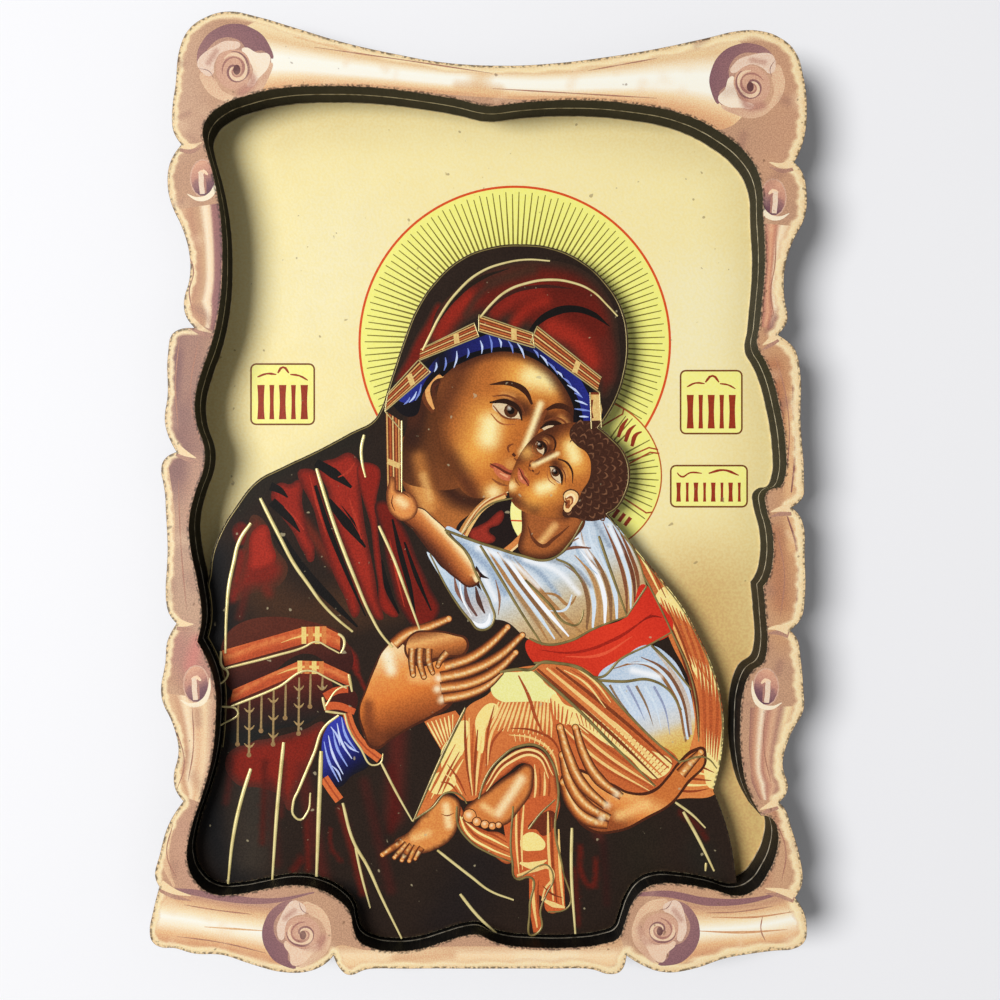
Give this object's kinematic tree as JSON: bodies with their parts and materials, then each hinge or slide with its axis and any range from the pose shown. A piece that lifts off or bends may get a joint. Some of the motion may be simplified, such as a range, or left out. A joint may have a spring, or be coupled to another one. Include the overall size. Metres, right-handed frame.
{
  "type": "icon panel",
  "caption": "Small layered icon panel: a gold back board under a parchment-scroll frame, with a raised cut-out board of a mother and child. It lies on its back.",
  "frame": {"origin": "on the back board's underside, under the middle of the panel", "axes": "+X across the picture to the right, +Y up the picture, +Z out of its face"},
  "size_m": [0.0955, 0.14, 0.0096],
  "materials": {
    "gold_print": "fibreboard printed in gold, satin",
    "charred_board": "bare fibreboard, edges charred by the laser",
    "parchment_print": "fibreboard printed as parchment, satin",
    "figure_print": "fibreboard printed in colours with raised gold lines, satin"
  },
  "bodies": {
    "root": {"back_board": "gold_print", "spacer_frame": "charred_board", "scroll_frame": "parchment_print", "figure_panel": "figure_print"}
  },
  "joints": []
}
